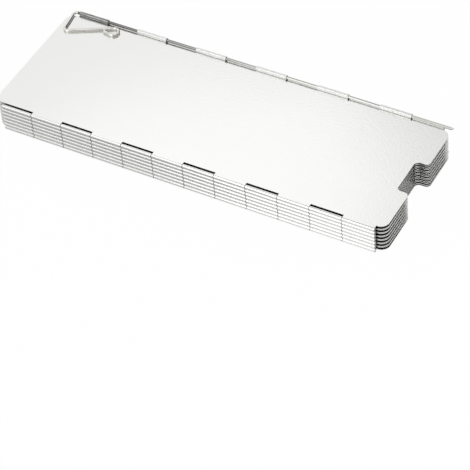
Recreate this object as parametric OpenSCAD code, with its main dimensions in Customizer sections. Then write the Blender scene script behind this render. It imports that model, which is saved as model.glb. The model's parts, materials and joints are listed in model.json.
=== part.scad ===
// Folding stove windscreen: plates hinged edge to edge like an accordion and lying folded as a stack,
// with a pull-out wire stake in the knuckles of each free edge.
// +Z is up through the stack, +X runs along the hinges towards the notched foot end,
// -Y is the side with the first hinge. The origin is at the middle of the underside.

/* [Plates] */
// Number of plates in the stack, an even number so that both free edges are on one side
plate_count = 14; // [4:2:20]
// Length of a plate along its hinges
plate_length = 240; // [180:1:300]
// Width of a plate between the tangent lines of its two hinges
plate_width = 84.5; // [60:0.5:110]
// Thickness of the sheet
sheet_t = 0.4; // [0.3:0.05:0.6]
// Radius of the corners of a plate
corner_r = 5; // [2:0.5:5.5]

/* [Foot notch] */
// Width of the notch between its straight walls
notch_width = 23.8; // [14:0.2:36]
// Depth of the notch into the foot end
notch_depth = 7.5; // [5.5:0.1:12]
// Radius of the notch's inner and outer fillets
notch_fillet = 2.5; // [1:0.1:2.7]

/* [Hinges] */
// Number of knuckles in a hinge, shared in turn by its two plates
knuckle_count = 12; // [8:2:16]
// Distance from the head end of a plate to the first knuckle
head_inset = 6.1; // [5.5:0.1:9]
// Distance from the last knuckle to the foot end of a plate
foot_inset = 5.1; // [5:0.1:9]
// End gap between neighbouring knuckles
knuckle_gap = 0.3; // [0.2:0.05:0.6]
// Diameter of a hinge pin
pin_d = 1.5; // [1.2:0.05:1.8]
// Gap between a hinge's knuckles and the edge of the other plate
edge_gap = 0.7; // [0.4:0.05:1]
// Gap between the knuckle rows of the folded stack
row_gap = 0.15; // [0.12:0.01:0.3]
// Gap between the rolled lip of a knuckle and its own sheet
lip_gap = 0.15; // [0.1:0.01:0.25]

/* [Stakes] */
// Diameter of the stake wire
wire_d = 1.7; // [1.5:0.05:2]
// How far the stake's tip stands out of the foot end
tip_reach = 0.6; // [0:0.1:6]
// How far the bottom stake is drawn back from the place of the top one
bottom_setback = 3; // [0:0.1:6]
// Length of the tip's taper
tip_taper = 1.6; // [0.8:0.1:4]
// Diameter of the flat at the very tip
tip_d = 0.9; // [0.6:0.05:1.2]

/* [Stake handles] */
// Distance from the first knuckle to where the wire starts to bend
handle_lead = 1.4; // [0.3:0.1:2]
// Bend radius of the wire's centre line at the two corners of the handle
handle_bend_r = 2; // [1.5:0.1:2.6]
// Turn of the first corner
handle_turn_1 = 98; // [90:1:106]
// Straight length from the first corner to the second
handle_side = 12.2; // [10:0.1:16]
// Turn of the second corner
handle_turn_2 = 110; // [102:1:116]
// Straight length from the second corner to the hook
handle_back = 26; // [20:0.1:27]
// Bend radius of the hook's centre line
hook_r = 2.9; // [2:0.1:3.2]
// Turn of the hook
hook_turn = 220; // [210:1:228]
// Gap between the end of the hook's tail and the straight of the handle
hook_gap = 0.35; // [0.2:0.05:1]

/* [Fits] */
// Radial clearance of a pin or stake in its knuckles
running_fit = 0.05; // [0.03:0.01:0.08]

/* [Hidden] */
$fn = 48;
eps = 0.01;

hinge_bore = pin_d + 2 * running_fit;
hinge_od = hinge_bore + 2 * sheet_t;
stake_bore = wire_d + 2 * running_fit;
stake_od = stake_bore + 2 * sheet_t;

// Height of a knuckle's axis over the middle of its sheet
hinge_offset = (hinge_od - sheet_t) / 2;
stake_offset = (stake_od - sheet_t) / 2;

knuckle_pitch = (plate_length - head_inset - foot_inset) / knuckle_count;
knuckle_length = knuckle_pitch - knuckle_gap;
row_start = -plate_length / 2 + head_inset;
sheet_half = plate_width / 2 - hinge_od / 2 - edge_gap;
// A knuckle's tab laps into the sheet
tab_root = 1;
tab_length = plate_width / 2 - sheet_half + tab_root;

// Two plates lie within each step of the stack, so each plate tilts a little to fit
row_pitch = hinge_od + row_gap;
axis_rise = row_pitch / 2;
axis_run = sqrt(pow(plate_width, 2) + pow(2 * hinge_offset, 2) - pow(axis_rise, 2));
plate_tilt = atan2(axis_rise, axis_run) - atan2(2 * hinge_offset, plate_width);

// Far edge of an end plate, seen from its near hinge
free_edge_y = cos(plate_tilt) * plate_width - sin(plate_tilt) * (hinge_offset + stake_offset);
free_edge_z = sin(plate_tilt) * plate_width + cos(plate_tilt) * (hinge_offset + stake_offset);

foot_x = plate_length / 2;
rod_start = row_start - handle_lead;
rod_length = foot_x + tip_reach - rod_start;
handle_end = rod_start - bottom_setback - handle_bend_r - wire_d / 2;

// The stack is centred on its own box
stack_low = stake_od / 2 + free_edge_z;
near_y = -(free_edge_y + stake_od / 2 - hinge_od / 2) / 2;
far_y = near_y + axis_run;
middle_x = -(foot_x + tip_reach + min(-plate_length / 2, handle_end)) / 2;
last_row = plate_count / 2 - 1;
top_row_z = stack_low + last_row * row_pitch;

bead_rise = 0.01;

// The hook's tail runs back towards the straight of the handle until only the gap is left
tail_slant = hook_turn - 180;
hook_tail = (hook_r * (1 + cos(tail_slant)) - wire_d - hook_gap) / sin(tail_slant);

function is_odd(k) = k % 2 == 1;
// Plates are counted from the top: an odd one has its near hinge below it, an even one above it
function side(k) = is_odd(k) ? 1 : -1;
function near_row_z(k) = top_row_z - floor((k - 1) / 2) * row_pitch;
function hinge_z(k) = is_odd(k) ? near_row_z(k) : near_row_z(k) - axis_rise;
function hinge_y(k) = is_odd(k) ? near_y : far_y;
function knuckle_x(i) = row_start + (i + 0.5) * knuckle_pitch;
function setback(k) = k == 1 ? 0 : bottom_setback;

// Puts its children in the frame of plate k, with the sheet's middle at z = 0
module in_plate(k) {
    translate([middle_x, near_y, near_row_z(k)])
        rotate([side(k) * plate_tilt, 0, 0])
            translate([0, plate_width / 2, side(k) * hinge_offset])
                children();
}

// A quarter round to be cut from a corner at the origin, whose sides run along -X and -Y
module corner_cut(r) {
    translate([-r, -r])
        difference() {
            square(r + eps);
            circle(r);
        }
}

// Outline of the foot notch, its mouth at x = 0 and its floor towards -X
module notch_outline() {
    translate([-notch_depth, -notch_width / 2])
        difference() {
            square([notch_depth + eps, notch_width]);
            translate([0, notch_width])
                mirror([1, 0])
                    corner_cut(notch_fillet);
            mirror([1, 0])
                mirror([0, 1])
                    corner_cut(notch_fillet);
        }
    for (m = [0, 1])
        mirror([0, m])
            translate([0, -notch_width / 2])
                corner_cut(notch_fillet);
}

// The sheet between its two hinges, without the tabs of its knuckles
module sheet_outline() {
    difference() {
        square([plate_length, 2 * sheet_half], center = true);
        for (mx = [0, 1], my = [0, 1])
            mirror([mx, 0])
                mirror([0, my])
                    translate([plate_length / 2, sheet_half])
                        corner_cut(corner_r);
        translate([foot_x, 0])
            notch_outline();
    }
}

// A knuckle about the X axis, rolled from a tab of the sheet that comes in from -Y and meets it at the bottom
module knuckle(od, bore) {
    sheet_top = od / 2 - sheet_t;
    lip_angle = 180 + asin((sheet_top - lip_gap) / (od / 2));
    rotate([90, 0, 90])
        linear_extrude(knuckle_length, center = true) {
            difference() {
                circle(d = od);
                circle(d = bore);
                polygon([[0, 0], od * [cos(lip_angle), sin(lip_angle)], [-od, -od], [0, -od]]);
            }
            translate([-tab_length, -od / 2])
                square([tab_length, sheet_t]);
        }
}

// One plate in its own frame: odd plates roll their near edge down and their far edge up
module plate_shape(k, far_od, far_bore) {
    near_first = is_odd(k) ? 1 : 0;
    far_first = 1 - near_first;
    far_offset = (far_od - sheet_t) / 2;
    linear_extrude(sheet_t, center = true)
        sheet_outline();
    mirror([0, 0, is_odd(k) ? 0 : 1]) {
        for (i = [near_first : 2 : knuckle_count - 1])
            translate([knuckle_x(i), -plate_width / 2, -hinge_offset])
                rotate([180, 0, 0])
                    knuckle(hinge_od, hinge_bore);
        for (i = [far_first : 2 : knuckle_count - 1])
            translate([knuckle_x(i), plate_width / 2, far_offset])
                knuckle(far_od, far_bore);
    }
}

module plate(k) {
    is_end = k == 1 || k == plate_count;
    color("gainsboro")
        in_plate(k)
            plate_shape(k, is_end ? stake_od : hinge_od, is_end ? stake_bore : hinge_bore);
}

module hinge_pin(k) {
    color("darkgray")
        translate([middle_x + row_start + knuckle_gap / 2, hinge_y(k), hinge_z(k)])
            rotate([0, 90, 0])
                cylinder(d = pin_d, h = knuckle_count * knuckle_pitch - knuckle_gap);
}

// Puts its children at the start of the rod of plate k's stake, the rod running along +X
module at_stake(k) {
    in_plate(k)
        mirror([0, 0, is_odd(k) ? 0 : 1])
            translate([rod_start - setback(k), plate_width / 2, stake_offset])
                children();
}

module stake_rod(k) {
    color("slategray")
        at_stake(k)
            rotate([0, 90, 0]) {
                cylinder(d = wire_d, h = rod_length - tip_taper);
                translate([0, 0, rod_length - tip_taper])
                    cylinder(d1 = wire_d, d2 = tip_d, h = tip_taper);
            }
}

// A bead, a hair thicker than the wire, where a run meets a bend
module wire_bead() {
    rotate([0, 90, 0])
        sphere(d = wire_d + 2 * bead_rise);
}

// A straight length of wire along +X from a bend, with its children at its end
module wire_run(length) {
    wire_bead();
    rotate([0, 90, 0])
        cylinder(d = wire_d, h = length);
    translate([length, 0, 0]) {
        if ($children > 0)
            wire_bead();
        children();
    }
}

// A bend to the left in the XY plane, with its children at its end
module wire_bend(r, turn) {
    translate([0, r, 0])
        rotate([0, 0, -90])
            rotate_extrude(angle = turn)
                translate([r, 0])
                    circle(d = wire_d);
    translate([0, r, 0])
        rotate([0, 0, turn])
            translate([0, -r, 0])
                children();
}

// The rod's end turned into a flat triangle that closes on a small hook
module stake_handle(k) {
    color("slategray")
        at_stake(k)
            rotate([0, 0, 180])
                wire_bend(handle_bend_r, handle_turn_1)
                    wire_run(handle_side)
                        wire_bend(handle_bend_r, handle_turn_2)
                            wire_run(handle_back)
                                mirror([0, 1, 0])
                                    wire_bend(hook_r, hook_turn)
                                        wire_run(hook_tail);
}

for (k = [1 : plate_count])
    plate(k);
for (k = [1 : plate_count - 1])
    hinge_pin(k);
stake_rod(1);  // top_stake_rod
stake_handle(1);  // top_stake_handle
stake_rod(plate_count);  // bottom_stake_rod
stake_handle(plate_count);  // bottom_stake_handle
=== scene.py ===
"""Looks of a folding stove windscreen: its hinged plates, hinge pins and wire stakes, on a pale stage."""

import json
import math

import bpy
from bpy.props import FloatProperty, FloatVectorProperty, PointerProperty
from mathutils import Matrix, Vector


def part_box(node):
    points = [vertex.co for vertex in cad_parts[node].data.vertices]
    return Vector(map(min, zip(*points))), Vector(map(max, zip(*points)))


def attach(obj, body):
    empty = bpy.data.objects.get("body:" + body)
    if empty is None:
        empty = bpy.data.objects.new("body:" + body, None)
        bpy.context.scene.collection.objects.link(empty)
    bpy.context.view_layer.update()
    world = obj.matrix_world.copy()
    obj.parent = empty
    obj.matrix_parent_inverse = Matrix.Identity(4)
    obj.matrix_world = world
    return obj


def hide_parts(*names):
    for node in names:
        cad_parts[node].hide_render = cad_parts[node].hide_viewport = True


bl_info = {
    "name": "Folding Stove Windscreen",
    "version": (1, 0, 0),
    "blender": (4, 5, 0),
    "location": "View3D > Sidebar > Windscreen",
    "description": "Finishes the plates, hinge pins and wire stakes of a folding windscreen and lights them",
    "category": "Object",
}

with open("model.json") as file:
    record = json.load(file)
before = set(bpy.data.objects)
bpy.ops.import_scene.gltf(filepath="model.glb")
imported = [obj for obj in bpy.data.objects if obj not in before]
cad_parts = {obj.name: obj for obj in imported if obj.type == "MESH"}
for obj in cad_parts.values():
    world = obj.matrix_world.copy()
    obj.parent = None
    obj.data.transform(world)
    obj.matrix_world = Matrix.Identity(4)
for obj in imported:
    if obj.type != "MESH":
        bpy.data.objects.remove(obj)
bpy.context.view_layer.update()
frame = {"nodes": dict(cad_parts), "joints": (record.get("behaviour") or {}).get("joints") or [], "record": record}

BODIES = frame["record"]["behaviour"]["bodies"]
BODY_OF = {node: body for body, nodes in BODIES.items() for node in nodes}
JOINTS = {joint["name"]: joint for joint in frame["joints"]}
PLATE_COUNT = sum(node.startswith("plate_") for node in BODY_OF)
PLATES = [f"plate_{k}" for k in range(1, PLATE_COUNT + 1)]
PINS = [f"hinge_pin_{k}" for k in range(1, PLATE_COUNT)]
# each stake and the plate that holds it
STAKES = {"top": PLATES[0], "bottom": PLATES[-1]}

MM = 0.001
UP = Vector((0, 0, 1))
ALONG = Vector((1, 0, 0))

# points this close are merged, and places this near are taken to be the same
WELD = 0.001 * MM
NEAR = 0.1 * MM


class PlateSettings(bpy.types.PropertyGroup):
    """Finish of the hinged plates"""

    edge_break: FloatProperty(
        name="Edge break",
        description="Rounding of the sheet's cut edges",
        default=0.03 * MM, min=0.0, max=0.18 * MM, precision=6, unit="LENGTH",
    )
    colour: FloatVectorProperty(
        name="Colour",
        description="Colour of the satin aluminium",
        default=(0.89, 0.892, 0.875), size=3, min=0.0, max=1.0, subtype="COLOR",
    )
    dull_colour: FloatVectorProperty(
        name="Dull colour",
        description="Colour of the aluminium where its grain is dull",
        default=(0.80, 0.80, 0.785), size=3, min=0.0, max=1.0, subtype="COLOR",
    )
    edge_colour: FloatVectorProperty(
        name="Edge colour",
        description="Colour of the sheet's cut edges",
        default=(0.92, 0.92, 0.91), size=3, min=0.0, max=1.0, subtype="COLOR",
    )
    # painted shade: the knuckle beside the handle is coloured dark in place of the shade that falls there
    handle_shade_colour: FloatVectorProperty(
        name="Burnished colour",
        description="Colour of the knuckle that the stake's handle rubs",
        default=(0.24, 0.238, 0.23), size=3, min=0.0, max=1.0, subtype="COLOR",
    )
    # painted shade: the dark colour of the knuckles' sheared ends stands in for the shade inside the rolls
    roll_end_shade_colour: FloatVectorProperty(
        name="Roll end colour",
        description="Colour of the sheared ends of the rolled knuckles",
        default=(0.16, 0.16, 0.155), size=3, min=0.0, max=1.0, subtype="COLOR",
    )
    roughness: FloatProperty(
        name="Roughness",
        description="Mean roughness of the satin face",
        default=0.17, min=0.0, max=1.0, subtype="FACTOR",
    )
    rolled_roughness: FloatProperty(
        name="Roughness when rolled",
        description="Mean roughness of the knuckles, whose satin is stretched by rolling",
        default=0.20, min=0.0, max=1.0, subtype="FACTOR",
    )
    stake_roll_roughness: FloatProperty(
        name="Roughness at the stakes",
        description="Mean roughness of the wide knuckles that hold a stake",
        default=0.45, min=0.0, max=1.0, subtype="FACTOR",
    )
    grain: FloatProperty(
        name="Grain",
        description="Size of the satin's mottled grain",
        default=1.2 * MM, min=0.1 * MM, max=5 * MM, precision=5, unit="LENGTH",
    )


class WireSettings(bpy.types.PropertyGroup):
    """Shape and finish of the hinge pins and stakes"""

    bend_radius: FloatProperty(
        name="Corner radius",
        description="Bend radius of the wire's centre line at the handle's two corners",
        default=2.0 * MM, precision=5, unit="LENGTH",
    )
    first_turn: FloatProperty(
        name="First turn",
        description="Turn of the handle's first corner",
        default=math.radians(98), subtype="ANGLE",
    )
    side: FloatProperty(
        name="Side",
        description="Straight length between the handle's two corners",
        default=12.2 * MM, precision=5, unit="LENGTH",
    )
    second_turn: FloatProperty(
        name="Second turn",
        description="Turn of the handle's second corner",
        default=math.radians(110), subtype="ANGLE",
    )
    back: FloatProperty(
        name="Back",
        description="Straight length from the second corner to the hook",
        default=26.0 * MM, precision=5, unit="LENGTH",
    )
    hook_radius: FloatProperty(
        name="Hook radius",
        description="Bend radius of the hook's centre line",
        default=2.9 * MM, precision=5, unit="LENGTH",
    )
    hook_turn: FloatProperty(
        name="Hook turn",
        description="Turn of the hook",
        default=math.radians(220), subtype="ANGLE",
    )
    hook_gap: FloatProperty(
        name="Hook gap",
        description="Gap between the hook's tail and the straight of the handle",
        default=0.35 * MM, precision=6, unit="LENGTH",
    )
    tip_taper: FloatProperty(
        name="Tip taper",
        description="Length of the taper at a stake's tip",
        default=1.6 * MM, precision=5, unit="LENGTH",
    )
    tip_diameter: FloatProperty(
        name="Tip diameter",
        description="Diameter of the flat at a stake's tip",
        default=0.9 * MM, precision=5, unit="LENGTH",
    )
    end_round: FloatProperty(
        name="End rounding",
        description="Rounding of a wire's cut end",
        default=0.25 * MM, precision=5, unit="LENGTH",
    )
    stake_colour: FloatVectorProperty(
        name="Stake colour",
        description="Colour of the polished stake wire",
        default=(0.86, 0.85, 0.82), size=3, min=0.0, max=1.0, subtype="COLOR",
    )
    tarnish_colour: FloatVectorProperty(
        name="Tarnish colour",
        description="Colour of the stake wire where it is a little tarnished",
        default=(0.62, 0.57, 0.49), size=3, min=0.0, max=1.0, subtype="COLOR",
    )
    # painted shade: the rods' colour darkens towards the handle end in place of a dark reflection
    rod_shade_colour: FloatVectorProperty(
        name="Rubbed colour",
        description="Colour of the stake wire where its knuckles rub it dark",
        default=(0.15, 0.147, 0.14), size=3, min=0.0, max=1.0, subtype="COLOR",
    )
    # painted shade on the rods fades out over this reach
    shade_reach: FloatProperty(
        name="Rub reach",
        description="Half the length over which the rubbed dark fades out along a rod",
        default=105 * MM, min=10 * MM, precision=5, unit="LENGTH",
    )
    pin_colour: FloatVectorProperty(
        name="Pin colour",
        description="Colour of the drawn hinge pins",
        default=(0.58, 0.58, 0.57), size=3, min=0.0, max=1.0, subtype="COLOR",
    )


class StageSettings(bpy.types.PropertyGroup):
    """Camera, floor and surround"""

    azimuth: FloatProperty(
        name="Azimuth",
        description="Turn of the camera about the stack, from straight in front towards the foot end",
        default=math.radians(32.048), subtype="ANGLE",
    )
    elevation: FloatProperty(
        name="Elevation",
        description="Height of the camera's line of sight over the horizon",
        default=math.radians(45.156), subtype="ANGLE",
    )
    roll: FloatProperty(
        name="Roll",
        description="Turn of the camera about its line of sight",
        default=math.radians(-5.160), subtype="ANGLE",
    )
    distance: FloatProperty(
        name="Distance",
        description="Distance from the camera to the point that it looks at",
        default=1295.62 * MM, unit="LENGTH",
    )
    target: FloatVectorProperty(
        name="Target",
        description="Point that the camera looks at",
        default=(51.005 * MM, -76.28 * MM, 18.0 * MM), size=3, subtype="TRANSLATION",
    )
    lens: FloatProperty(
        name="Lens",
        description="Focal length of the camera on a 36 mm wide sensor, in millimetres",
        default=191.2, min=1.0, unit="CAMERA",
    )
    floor_white: FloatProperty(
        name="Floor whiteness",
        description="Share of the floor that is plain white, with the rest left to take the shadow",
        default=0.97, min=0.0, max=1.0, subtype="FACTOR",
    )
    floor_mirrored: FloatProperty(
        name="Floor whiteness in the metal",
        description="Share of the floor beside and behind the stack that is plain white in the metal",
        default=0.25, min=0.0, max=1.0, subtype="FACTOR",
    )
    surround: FloatProperty(
        name="Surround",
        description="Brightness of the white surround as the metal mirrors it",
        default=0.80, min=0.0, max=1.0,
    )
    dark_share: FloatProperty(
        name="Dark share",
        description="Share of that brightness that is left where the metal mirrors the surround dark",
        default=0.06, min=0.0, max=1.0, subtype="FACTOR",
    )
    fill: FloatProperty(
        name="Fill",
        description="Brightness of the surround as a light",
        default=0.62, min=0.0, max=2.0,
    )


class Value:
    """A shader socket that takes part in sums, so that shader maths reads as Python."""

    def __init__(self, finish, socket):
        self.finish = finish
        self.socket = socket

    def math(self, operation, first, second):
        return self.finish.node("ShaderNodeMath", {"operation": operation}, {0: first, 1: second})

    def __add__(self, other):
        return self.math("ADD", self, other)

    def __radd__(self, other):
        return self.math("ADD", other, self)

    def __sub__(self, other):
        return self.math("SUBTRACT", self, other)

    def __rsub__(self, other):
        return self.math("SUBTRACT", other, self)

    def __mul__(self, other):
        return self.math("MULTIPLY", self, other)

    def __rmul__(self, other):
        return self.math("MULTIPLY", other, self)

    def or_more(self, other):
        return self.math("MAXIMUM", self, other)


# a Mix node's sockets for colours, whose names its sockets for numbers have too
MIX_SHARE = 0
MIX_FIRST = 6
MIX_SECOND = 7
MIX_RESULT = 2


class Finish:
    """The node tree of a material or of the surround, filled one node at a time."""

    def __init__(self, tree):
        self.tree = tree
        tree.nodes.clear()

    def node(self, kind, settings=None, sockets=None, output=0):
        """Adds a node, sets it up, fills its sockets and gives one of its outputs, if it has any."""
        made = self.tree.nodes.new(kind)
        for name, value in (settings or {}).items():
            if name == "stops":
                self.set_stops(made.color_ramp, value)
            else:
                setattr(made, name, value)
        for name, value in (sockets or {}).items():
            if isinstance(value, Value):
                self.tree.links.new(value.socket, made.inputs[name])
            else:
                made.inputs[name].default_value = value
        return Value(self, made.outputs[output]) if made.outputs else None

    @staticmethod
    def set_stops(ramp, stops):
        for element, (place, level) in zip(ramp.elements, stops):
            element.position = place
            element.color = (level, level, level, 1.0)

    def place(self, stretch=(1.0, 1.0, 1.0)):
        """The point's own place on the object, stretched along the axes."""
        point = self.node("ShaderNodeTexCoord", output="Object")
        return self.node("ShaderNodeMapping", None, {"Vector": point, "Scale": stretch})

    def part(self, point, axis):
        """The part of a point or direction along an axis."""
        return self.node("ShaderNodeSeparateXYZ", None, {"Vector": point}, axis)

    def noise(self, point, size, detail=2.0, rough=0.5):
        """A soft random pattern with lumps of about the given size, from 0 to 1."""
        sockets = {"Vector": point, "Scale": 1.0 / size, "Detail": detail, "Roughness": rough}
        return self.node("ShaderNodeTexNoise", None, sockets, "Fac")

    def ramp(self, value, low, high):
        """Stretches the values from low to high, which lie within 0 to 1, over 0 to 1."""
        return self.node("ShaderNodeValToRGB", {"stops": [(low, 0.0), (high, 1.0)]}, {"Fac": value})

    def mix(self, share, first, second):
        """A colour that goes from the first to the second as share goes from 0 to 1."""
        sockets = {MIX_SHARE: share, MIX_FIRST: (*first, 1.0), MIX_SECOND: (*second, 1.0)}
        return self.node("ShaderNodeMix", {"data_type": "RGBA"}, sockets, MIX_RESULT)

    def bump(self, height, depth, strength=1.0):
        """Normals of a relief of the given depth."""
        sockets = {"Strength": strength, "Distance": depth, "Height": height}
        return self.node("ShaderNodeBump", None, sockets, "Normal")

    def metal(self, colour, rough, normal):
        """Ends a material as bare metal."""
        sockets = {"Base Color": colour, "Metallic": 1.0, "Roughness": rough, "Normal": normal}
        shader = self.node("ShaderNodeBsdfPrincipled", None, sockets, "BSDF")
        self.node("ShaderNodeOutputMaterial", None, {"Surface": shader})


def new_finish(name):
    """A new material and the finish that fills it."""
    material = bpy.data.materials.new(name)
    material.use_nodes = True
    return material, Finish(material.node_tree)


MIDDLE = 0.5


def vary(level, pattern, spread):
    """A level that a pattern from 0 to 1 moves up and down by half the spread."""
    return level + spread * (pattern - MIDDLE)


# share of the rolling streaks in the mottle, and their relief beside that of the grain
STREAK_SHARE = 0.2
STREAK_RELIEF = 0.1
# how far the grain and the clouds take the sheet towards its dull colour
GRAIN_TINT = 0.10
CLOUD_TINT = 0.18


def sheet_finish(name, plates, roughness):
    """A fine mottled satin, faint rolling streaks and soft clouds."""
    material, finish = new_finish(name)
    point = finish.place()
    grain = finish.noise(point, plates.grain, detail=3.0, rough=0.6)
    clouds = finish.noise(point, size=45 * MM)
    streaks = finish.noise(finish.place(stretch=(0.03, 1.0, 1.0)), size=0.8 * MM)
    mottle = (1.0 - STREAK_SHARE) * grain + STREAK_SHARE * streaks
    dull = finish.ramp(mottle, low=0.38, high=0.66)
    colour = finish.mix(dull * GRAIN_TINT + clouds * CLOUD_TINT, plates.colour, plates.dull_colour)
    rough = vary(vary(roughness, dull, spread=0.03), clouds, spread=0.03)
    finish.metal(colour, rough, finish.bump(grain + STREAK_RELIEF * streaks, depth=0.05 * MM))
    return material


def satin_aluminium(plates):
    """Flat of the sheet."""
    return sheet_finish("satin_aluminium", plates, plates.roughness)


def rolled_aluminium(plates):
    """Knuckles rolled from the sheet."""
    return sheet_finish("rolled_aluminium", plates, plates.rolled_roughness)


def stake_roll(plates):
    """Wide knuckles about a stake, scuffed dull by its wire."""
    return sheet_finish("stake_roll", plates, plates.stake_roll_roughness)


CUT_ROUGHNESS = 0.30
CUT_TINT = 0.2


def cut_aluminium(plates):
    """Sheared edge of the sheet, rougher than its face and finely scored."""
    material, finish = new_finish("cut_aluminium")
    score = finish.noise(finish.place(stretch=(1.0, 1.0, 0.1)), size=0.25 * MM, detail=3.0)
    dull = finish.ramp(score, low=0.3, high=0.7)
    colour = finish.mix(dull * CUT_TINT, plates.edge_colour, plates.dull_colour)
    rough = vary(CUT_ROUGHNESS, score, spread=0.06)
    finish.metal(colour, rough, finish.bump(score, depth=0.002 * MM, strength=0.3))
    return material


ROLL_END_ROUGHNESS = 0.4
BURR_TINT = 0.4


def shaded_roll_end(plates):
    """Sheared end of a rolled knuckle, darkened with painted shade for the hollow of the roll, and brighter on its
    burr.
    """
    material, finish = new_finish("shaded_roll_end")
    burr = finish.noise(finish.place(), size=0.3 * MM, detail=3.0)
    bright = finish.ramp(burr, low=0.35, high=0.7)
    colour = finish.mix(bright * BURR_TINT, plates.roll_end_shade_colour, plates.edge_colour)
    rough = vary(ROLL_END_ROUGHNESS, burr, spread=0.2)
    finish.metal(colour, rough, finish.bump(burr, depth=0.01 * MM, strength=0.5))
    return material


def handle_shaded_aluminium(plates):
    """Knuckle beside a stake's handle, dark with painted shade beside the handle, streaked and smooth along its
    length.
    """
    material, finish = new_finish("handle_shaded_aluminium")
    shade_streaks = finish.noise(finish.place(stretch=(0.05, 1.0, 1.0)), size=0.3 * MM)
    bright = finish.ramp(shade_streaks, low=0.45, high=0.8)
    colour = finish.mix(bright, plates.handle_shade_colour, plates.dull_colour)
    rough = vary(plates.roughness, shade_streaks, spread=0.1)
    finish.metal(colour, rough, finish.bump(shade_streaks, depth=0.005 * MM, strength=0.5))
    return material


PLATE_FINISHES = (
    satin_aluminium, cut_aluminium, shaded_roll_end, rolled_aluminium, handle_shaded_aluminium, stake_roll,
)
FLAT, CUT, ROLL_END, ROLLED, HANDLE_SHADED, STAKE_ROLLED = range(len(PLATE_FINISHES))

PATCH_SIZE = 9 * MM
STAKE_ROUGHNESS = 0.07
PATCH_ROUGHNESS = 0.06


def wire_metal(finish, colour, patches):
    """The stake wire's gloss and fine drawing marks."""
    marks = finish.noise(finish.place(), size=0.35 * MM, detail=3.0)
    rough = vary(STAKE_ROUGHNESS, marks, spread=0.05) + PATCH_ROUGHNESS * patches
    finish.metal(colour, rough, finish.bump(marks, depth=0.001 * MM, strength=0.3))


def stake_steel(wires):
    """Polished wire of a handle with a faint warm tarnish in patches."""
    material, finish = new_finish("stake_steel")
    patches = finish.noise(finish.place(), PATCH_SIZE, detail=3.0)
    tarnish = finish.ramp(patches, low=0.52, high=0.78)
    wire_metal(finish, finish.mix(tarnish, wires.stake_colour, wires.tarnish_colour), patches)
    return material


def rod_steel(wires):
    """Wire of a rod, darker towards the handle with painted shade."""
    material, finish = new_finish("rod_steel")
    point = finish.place()
    patches = finish.noise(point, PATCH_SIZE, detail=3.0)
    fading = MIDDLE - finish.part(point, "X") * (MIDDLE / wires.shade_reach)
    painted_shade = finish.ramp(vary(fading, patches, spread=0.1), low=0.0, high=1.0)
    wire_metal(finish, finish.mix(painted_shade, wires.stake_colour, wires.rod_shade_colour), patches)
    return material


PIN_ROUGHNESS = 0.3


def pin_steel(wires):
    """Drawn wire, rougher than the stakes."""
    material, finish = new_finish("pin_steel")
    marks = finish.noise(finish.place(stretch=(0.05, 1.0, 1.0)), size=0.2 * MM, detail=3.0)
    wear = finish.noise(finish.place(), size=3 * MM)
    colour = finish.mix(wear, wires.pin_colour, wires.stake_colour)
    rough = vary(PIN_ROUGHNESS, marks, spread=0.15)
    finish.metal(colour, rough, finish.bump(marks, depth=0.005 * MM, strength=0.5))
    return material


def open_for_modelling(piece):
    """Makes the piece the only one selected and opens it in edit mode, with all of it selected."""
    bpy.ops.object.select_all(action="DESELECT")
    piece.select_set(True)
    bpy.context.view_layer.objects.active = piece
    bpy.ops.object.mode_set(mode="EDIT")
    bpy.ops.mesh.select_all(action="SELECT")


def close_modelling():
    """Leaves edit mode."""
    bpy.ops.object.mode_set(mode="OBJECT")


def add_modifier(piece, kind, **settings):
    """Adds a modifier to the active piece and applies it."""
    modifier = piece.modifiers.new(kind.title(), kind)
    for name, value in settings.items():
        setattr(modifier, name, value)
    bpy.ops.object.modifier_apply(modifier=modifier.name)


def stand_for(piece, node):
    """The finished piece takes the place of a node and moves with its body."""
    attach(piece, BODY_OF[node])
    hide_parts(node)


# faces this nearly in one plane are joined
FLAT_WITHIN = math.radians(0.4)
# edges sharper than this are broken
EDGE_FROM = math.radians(40)
# faces that meet at less than this are shaded as one
PLATE_SMOOTH = math.radians(50)


def dress_plate(node, edge_break, materials):
    """Breaks the edges of a plate and puts its finishes on."""
    piece = bpy.data.objects.new(node + "_finished", frame["nodes"][node].data.copy())
    bpy.context.collection.objects.link(piece)
    open_for_modelling(piece)
    bpy.ops.mesh.customdata_custom_splitnormals_clear()
    bpy.ops.mesh.remove_doubles(threshold=WELD)
    bpy.ops.mesh.dissolve_limited(angle_limit=FLAT_WITHIN)
    close_modelling()
    piece.data.materials.clear()
    for material in materials:
        piece.data.materials.append(material)
    mark_sheet(piece)
    if node in STAKES.values():
        mark_stake_knuckles(piece)
    add_modifier(
        piece, "BEVEL", width=edge_break, segments=2, limit_method="ANGLE", angle_limit=EDGE_FROM,
    )
    bpy.ops.object.shade_smooth_by_angle(angle=PLATE_SMOOTH)
    add_modifier(piece, "WEIGHTED_NORMAL", mode="FACE_AREA", weight=100, keep_sharp=True)
    stand_for(piece, node)


# an upright face's normal rises less than this, and an end face's normal goes more than this along X
UPRIGHT = 0.05
END_ON = 0.9


def mark_sheet(piece):
    """Puts each finish on its faces: the flat, its sheared edges, the knuckles' ends and their rolls."""
    start = hinge_knuckle_start()
    for face in piece.data.polygons:
        upright = abs(face.normal.z) < UPRIGHT
        end_on = abs(face.normal.x) > END_ON
        if abs(face.center.y) < start:
            face.material_index = CUT if upright else FLAT
        else:
            face.material_index = ROLL_END if upright and end_on else ROLLED


def mark_stake_knuckles(piece):
    """Gives the knuckle beside a stake's handle its painted shade, and makes the stake's other knuckles dull."""
    start = stake_knuckle_start(piece)
    first_end = first_knuckle_end(piece)
    for face in piece.data.polygons:
        if face.center.y > start and face.center.x < first_end + WELD:
            face.material_index = HANDLE_SHADED
        elif face.center.y > start and face.material_index != ROLL_END:
            face.material_index = STAKE_ROLLED


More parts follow.
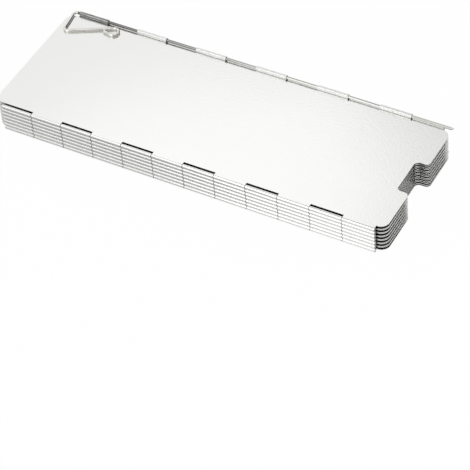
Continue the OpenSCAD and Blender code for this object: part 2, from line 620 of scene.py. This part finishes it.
def hinge_knuckle_start():
    """Distance from the middle of the stack, along Y, at which the knuckles of the hinges start."""
    hinge_y = JOINTS["hinge_1"]["pos_m"][1]
    knuckle_radius = hinge_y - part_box(PLATES[0])[0].y
    return abs(hinge_y) - knuckle_radius


def stake_knuckle_start(piece):
    """Place along Y at which the wide knuckles about a stake start."""
    stake_y = JOINTS["top_handle_swing"]["pos_m"][1]
    far_y = max(vertex.co.y for vertex in piece.data.vertices)
    return 2 * stake_y - far_y - WELD


def first_knuckle_end(piece):
    """Place along X of the first end face of a far knuckle that looks to the foot."""
    start = hinge_knuckle_start()
    faces = [face for face in piece.data.polygons if face.normal.x > END_ON and face.center.y > start]
    return min(face.center.x for face in faces)


WIRE_SIDES = 24
BEND_STEP = math.radians(8)
FEWEST_BEND_STEPS = 2
WIRE_SMOOTH = math.radians(40)


def start_wire(name, start, heading, radius):
    """Adds a ring across the start of a wire and leaves it open for modelling, selected."""
    facing = heading.to_track_quat("Z", "Y").to_euler()
    bpy.ops.object.select_all(action="DESELECT")
    bpy.ops.mesh.primitive_circle_add(vertices=WIRE_SIDES, radius=radius, location=start, rotation=facing)
    bpy.ops.object.transform_apply(location=True, rotation=True, scale=True)
    wire = bpy.context.object
    wire.name = name
    open_for_modelling(wire)
    return wire


def run_wire(step):
    """Draws the wire's open end out by a step."""
    bpy.ops.mesh.extrude_region_move(TRANSFORM_OT_translate={"value": step})


def finish_wire(wire, rounded_ends, end_round, material):
    """Closes a wire's ends, rounds those that are named by a point, and shades it."""
    bpy.ops.mesh.select_all(action="SELECT")
    bpy.ops.mesh.remove_doubles(threshold=WELD)
    bpy.ops.mesh.fill_holes(sides=0)
    bpy.ops.mesh.select_all(action="SELECT")
    bpy.ops.mesh.normals_make_consistent(inside=False)
    bpy.ops.mesh.select_mode(type="FACE")
    bpy.ops.mesh.select_all(action="DESELECT")
    close_modelling()
    for face in wire.data.polygons:
        is_end = len(face.vertices) == WIRE_SIDES
        face.select = is_end and any((face.center - end).length < NEAR for end in rounded_ends)
    bpy.ops.object.mode_set(mode="EDIT")
    bpy.ops.mesh.region_to_loop()
    bpy.ops.mesh.bevel(offset=end_round, segments=3, affect="EDGES")
    close_modelling()
    wire.data.materials.append(material)
    bpy.ops.object.shade_smooth_by_angle(angle=WIRE_SMOOTH)


def wire_axis(node):
    """Start, length and radius of a straight wire along X, from its node."""
    low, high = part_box(node)
    radius = (high.z - low.z) / 2
    start = Vector((low.x, (low.y + high.y) / 2, (low.z + high.z) / 2))
    return start, high.x - low.x, radius


def make_pin(node, wires, material):
    """A hinge pin with rounded ends."""
    start, length, radius = wire_axis(node)
    pin = start_wire(node + "_finished", start, ALONG, radius)
    run_wire(ALONG * length)
    finish_wire(pin, [start, start + ALONG * length], wires.end_round, material)
    return pin


def make_rod(node, wires, material):
    """The straight of a stake, with a tapered tip."""
    start, length, radius = wire_axis(node)
    tip = start + ALONG * length
    rod = start_wire(node + "_finished", start, ALONG, radius)
    run_wire(ALONG * (length - wires.tip_taper))
    run_wire(ALONG * wires.tip_taper)
    narrowing = wires.tip_diameter / 2 / radius
    bpy.ops.transform.resize(value=(1.0, narrowing, narrowing), center_override=tip)
    finish_wire(rod, [tip], wires.end_round, material)
    return rod


class Bender:
    """Carries a wire's end along runs and bends in a plane, as on a bench with a pair of pliers."""

    def __init__(self, place, heading, normal):
        self.place = place
        self.heading = heading
        self.normal = normal

    def run(self, length):
        """Goes straight on."""
        run_wire(self.heading * length)
        self.place = self.place + self.heading * length

    def bend(self, radius, turn):
        """Turns to the left by a positive angle, and to the right by a negative one."""
        side = math.copysign(1.0, turn)
        centre = self.place + self.normal.cross(self.heading) * radius * side
        steps = max(FEWEST_BEND_STEPS, round(abs(turn) / BEND_STEP))
        bpy.ops.mesh.spin(steps=steps, angle=-turn, center=centre, axis=self.normal)
        turned = Matrix.Rotation(turn, 3, self.normal)
        self.place = centre + turned @ (self.place - centre)
        self.heading = turned @ self.heading


def sheet_normal(plate):
    """Upward normal of a plate's sheet, which lies a little tilted in the stack."""
    widest = max(frame["nodes"][plate].data.polygons, key=lambda face: face.area)
    return widest.normal if widest.normal.z > 0 else -widest.normal


def make_handle(stake, wires, material):
    """The rod's end turned into a flat triangle that closes on a small hook."""
    node = f"{stake}_stake_handle"
    start, _, radius = wire_axis(f"{stake}_stake_rod")
    handle = start_wire(node + "_finished", start, -ALONG, radius)
    slant = wires.hook_turn - math.pi
    room = wires.hook_radius * (1 + math.cos(slant)) - 2 * radius - wires.hook_gap
    bender = Bender(start, -ALONG, sheet_normal(STAKES[stake]))
    bender.bend(wires.bend_radius, wires.first_turn)
    bender.run(wires.side)
    bender.bend(wires.bend_radius, wires.second_turn)
    bender.run(wires.back)
    bender.bend(wires.hook_radius, -wires.hook_turn)
    bender.run(room / math.sin(slant))
    finish_wire(handle, [bender.place], wires.end_round, material)
    check_place(handle, node)
    return handle


def check_place(piece, node):
    """Stops the work if a new piece isn't where its node is."""
    low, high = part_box(node)
    points = [vertex.co for vertex in piece.data.vertices]
    for axis in range(3):
        least = min(point[axis] for point in points)
        most = max(point[axis] for point in points)
        if max(abs(least - low[axis]), abs(most - high[axis])) > NEAR:
            reach = f"{least:.5f} to {most:.5f} m along axis {axis}"
            raise RuntimeError(f"{piece.name} reaches {reach}, not as {node}")


class WINDSCREEN_OT_plates(bpy.types.Operator):
    """Finishes the hinged plates"""

    bl_idname = "windscreen.plates"
    bl_label = "Plates"

    def execute(self, context):
        plates = context.scene.windscreen_plates
        materials = [make(plates) for make in PLATE_FINISHES]
        for node in PLATES:
            dress_plate(node, plates.edge_break, materials)
        return {"FINISHED"}


class WINDSCREEN_OT_pins(bpy.types.Operator):
    """Makes the hinge pins: one is modelled, and the others are copies of it"""

    bl_idname = "windscreen.pins"
    bl_label = "Hinge pins"

    def execute(self, context):
        wires = context.scene.windscreen_wires
        first = make_pin(PINS[0], wires, pin_steel(wires))
        start = wire_axis(PINS[0])[0]
        for node in PINS[1:]:
            pin = bpy.data.objects.new(node + "_finished", first.data.copy())
            pin.data.transform(Matrix.Translation(wire_axis(node)[0] - start))
            context.collection.objects.link(pin)
            stand_for(pin, node)
        stand_for(first, PINS[0])
        return {"FINISHED"}


class WINDSCREEN_OT_stakes(bpy.types.Operator):
    """Bends the two wire stakes: a straight rod and a handle each"""

    bl_idname = "windscreen.stakes"
    bl_label = "Stakes"

    def execute(self, context):
        wires = context.scene.windscreen_wires
        rod_finish, handle_finish = rod_steel(wires), stake_steel(wires)
        for stake in STAKES:
            node = f"{stake}_stake_rod"
            stand_for(make_rod(node, wires, rod_finish), node)
            node = f"{stake}_stake_handle"
            stand_for(make_handle(stake, wires, handle_finish), node)
        return {"FINISHED"}


WHITE = (1.0, 1.0, 1.0)
BLACK = (0.0, 0.0, 0.0)


def background_masks(finish):
    """Two masks of the background: as the camera sees it, and as metal or glass shows it."""
    camera = finish.node("ShaderNodeLightPath", output="Is Camera Ray")
    glossy = finish.node("ShaderNodeLightPath", output="Is Glossy Ray")
    through = finish.node("ShaderNodeLightPath", output="Is Transmission Ray")
    return camera, glossy.or_more(through)


FLOOR_SIZE = 8.0
FLOOR_DROP = 0.2 * MM
FLOOR_COLOUR = (0.9, 0.9, 0.9)
# where the floor in front of the stack starts, and how much more of it is plain in the metal
FRONT_EDGE = (42 * MM, 50 * MM)
FRONT_PLAIN = 0.6
# how much darker the metal mirrors it, how much more so on the left, and where that fades out along X
FRONT_DARK = 0.24
LEFT_DARK = 0.45
LEFT_FADE = (0.0, 100 * MM)


def white_floor(stage):
    """White with a soft shadow to the camera, and darker in front of the stack as the metal mirrors it."""
    material, finish = new_finish("white_floor")
    camera, mirrored = background_masks(finish)
    point = finish.place()
    in_front = finish.ramp(-1.0 * finish.part(point, "Y"), *FRONT_EDGE)
    leftward = 1.0 - finish.ramp(finish.part(point, "X"), *LEFT_FADE)
    darker = in_front * (FRONT_DARK + LEFT_DARK * leftward)
    plain = finish.node("ShaderNodeEmission", None, {"Color": finish.mix(mirrored * darker, WHITE, BLACK)})
    shaded = finish.node("ShaderNodeBsdfDiffuse", None, {"Color": (*FLOOR_COLOUR, 1.0)})
    share = camera * stage.floor_white + mirrored * (stage.floor_mirrored + FRONT_PLAIN * in_front)
    shader = finish.node("ShaderNodeMixShader", None, {0: share, 1: shaded, 2: plain})
    finish.node("ShaderNodeOutputMaterial", None, {"Surface": shader})
    return material


def lay_floor(stage):
    """A wide floor just under the stack."""
    bpy.ops.object.select_all(action="DESELECT")
    bpy.ops.mesh.primitive_plane_add(size=FLOOR_SIZE, location=(0, 0, -FLOOR_DROP))
    bpy.ops.object.transform_apply(location=True, rotation=True, scale=True)
    floor = bpy.context.object
    floor.name = "floor"
    floor.data.materials.append(white_floor(stage))


# where the right and the back of the surround start, with 0 and 1 at its sides and 0.5 in the middle
HALF = 0.5
SIDE_EDGE = (0.45, 0.60)
# height up to which the right is dark, and how much higher that goes at the back
LOW_EDGE = (0.20, 0.34)
BACK_RISE = 0.30
# heading of the dark overhead, and how near to it the dark starts
OVERHEAD_UP = 0.92
OVERHEAD_LEFT = 0.39
OVERHEAD_EDGE = (0.925, 0.955)


def light_surround(stage):
    """White to the camera, a soft fill as a light, and dark overhead and low on the right in the metal."""
    world = bpy.data.worlds.new("white_surround")
    world.use_nodes = True
    bpy.context.scene.world = world
    finish = Finish(world.node_tree)
    camera, mirrored = background_masks(finish)
    direction = finish.node("ShaderNodeTexCoord", output="Generated")
    along, across, height = (finish.part(direction, axis) for axis in "XYZ")
    right_side = finish.ramp(MIDDLE + along * HALF, *SIDE_EDGE)
    back_side = finish.ramp(MIDDLE + across * HALF, *SIDE_EDGE)
    right_low = right_side * (1.0 - finish.ramp(height - BACK_RISE * back_side, *LOW_EDGE))
    overhead = finish.ramp(OVERHEAD_UP * height - OVERHEAD_LEFT * along, *OVERHEAD_EDGE)
    lit = (1.0 - overhead) * (1.0 - right_low)
    mirror = stage.surround * (stage.dark_share + (1.0 - stage.dark_share) * lit)
    strength = stage.fill + camera * (1.0 - stage.fill) + mirrored * (mirror - stage.fill)
    shader = finish.node("ShaderNodeBackground", None, {"Color": (*WHITE, 1.0), "Strength": strength})
    finish.node("ShaderNodeOutputWorld", None, {"Surface": shader})


# each lamp's place, aim and size in metres, and its brightness, where 1 is white
STACK_TOP = (0.0, -0.03, 0.02)
FOOT_END = (0.13, 0.0, 0.0)
LAMPS = {
    "softbox": {
        "place": (-0.345, 0.225, 0.444), "aim": STACK_TOP, "size": (0.64, 0.50), "brightness": 0.155,
    },
    "inner_softbox": {
        "place": (-0.20, 0.325, 0.444), "aim": STACK_TOP, "size": (0.34, 0.18), "brightness": 0.17,
    },
    "top_lamp": {
        "place": (-0.28, -0.22, 0.62), "aim": STACK_TOP, "size": (0.60, 0.45), "brightness": 1.1,
    },
    "front_card": {
        "place": (-0.07, -0.40, 0.16), "aim": STACK_TOP, "size": (0.18, 0.34), "brightness": 0.85,
    },
    "right_lamp": {
        "place": (0.60, 0.45, 0.25), "aim": FOOT_END, "size": (0.40, 0.30), "brightness": 1.5,
    },
    "foot_lamp": {
        "place": (0.48, -0.35, 0.49), "aim": FOOT_END, "size": (0.30, 0.30), "brightness": 6.0,
        "mirrored": False,
    },
}


def hang_lamp(name, place, aim, size, brightness, mirrored=True):
    """A soft oval lamp of the given brightness, aimed at a point, that the metal mirrors or not."""
    lamp = bpy.data.lights.new(name, "AREA")
    lamp.shape = "ELLIPSE"
    lamp.size, lamp.size_y = size
    area = math.pi / 4 * size[0] * size[1]
    lamp.energy = brightness * math.pi * area
    lamp_object = bpy.data.objects.new(name, lamp)
    bpy.context.collection.objects.link(lamp_object)
    lamp_object.visible_camera = False
    lamp_object.visible_glossy = mirrored
    away = Vector(place) - Vector(aim)
    lamp_object.matrix_world = Matrix.Translation(place) @ away.to_track_quat("Z", "Y").to_matrix().to_4x4()


def set_camera(stage):
    """The camera at the photographed angle."""
    turn, rise = stage.azimuth, stage.elevation
    back = Vector((math.sin(turn) * math.cos(rise), -math.cos(turn) * math.cos(rise), math.sin(rise)))
    right = (-back).cross(UP).normalized()
    upward = right.cross(-back)
    rolled_right = right * math.cos(stage.roll) + upward * math.sin(stage.roll)
    rolled_up = upward * math.cos(stage.roll) - right * math.sin(stage.roll)
    camera = bpy.data.objects.new("camera", bpy.data.cameras.new("camera"))
    camera.data.lens = stage.lens
    bpy.context.collection.objects.link(camera)
    axes = Matrix((rolled_right, rolled_up, back)).transposed().to_4x4()
    camera.matrix_world = Matrix.Translation(Vector(stage.target) + back * stage.distance) @ axes
    bpy.context.scene.camera = camera


class WINDSCREEN_OT_stage(bpy.types.Operator):
    """Lays the floor, hangs the lamps and sets the camera"""

    bl_idname = "windscreen.stage"
    bl_label = "Stage"

    def execute(self, context):
        stage = context.scene.windscreen_stage
        lay_floor(stage)
        light_surround(stage)
        for name, lamp in LAMPS.items():
            hang_lamp(name, **lamp)
        set_camera(stage)
        context.scene.view_settings.view_transform = "Standard"
        return {"FINISHED"}


class WINDSCREEN_PT_panel(bpy.types.Panel):
    """Lists the windscreen's pieces and its stage"""

    bl_idname = "WINDSCREEN_PT_panel"
    bl_label = "Windscreen"
    bl_space_type = "VIEW_3D"
    bl_region_type = "UI"
    bl_category = "Windscreen"

    def draw(self, context):
        for operator in OPERATORS:
            self.layout.operator(operator.bl_idname)
        for name, settings in SETTINGS.items():
            box = self.layout.box()
            group = getattr(context.scene, name)
            for setting in settings.__annotations__:
                box.prop(group, setting)


SETTINGS = {
    "windscreen_plates": PlateSettings,
    "windscreen_wires": WireSettings,
    "windscreen_stage": StageSettings,
}
OPERATORS = (WINDSCREEN_OT_plates, WINDSCREEN_OT_pins, WINDSCREEN_OT_stakes, WINDSCREEN_OT_stage)
CLASSES = (*SETTINGS.values(), *OPERATORS, WINDSCREEN_PT_panel)


def register():
    for cls in CLASSES:
        bpy.utils.register_class(cls)
    for name, settings in SETTINGS.items():
        setattr(bpy.types.Scene, name, PointerProperty(type=settings))


def unregister():
    for name in SETTINGS:
        delattr(bpy.types.Scene, name)
    for cls in reversed(CLASSES):
        bpy.utils.unregister_class(cls)


def main():
    """Makes all pieces and the stage."""
    register()
    bpy.ops.windscreen.plates()
    bpy.ops.windscreen.pins()
    bpy.ops.windscreen.stakes()
    bpy.ops.windscreen.stage()


if __name__ == "__main__":
    main()
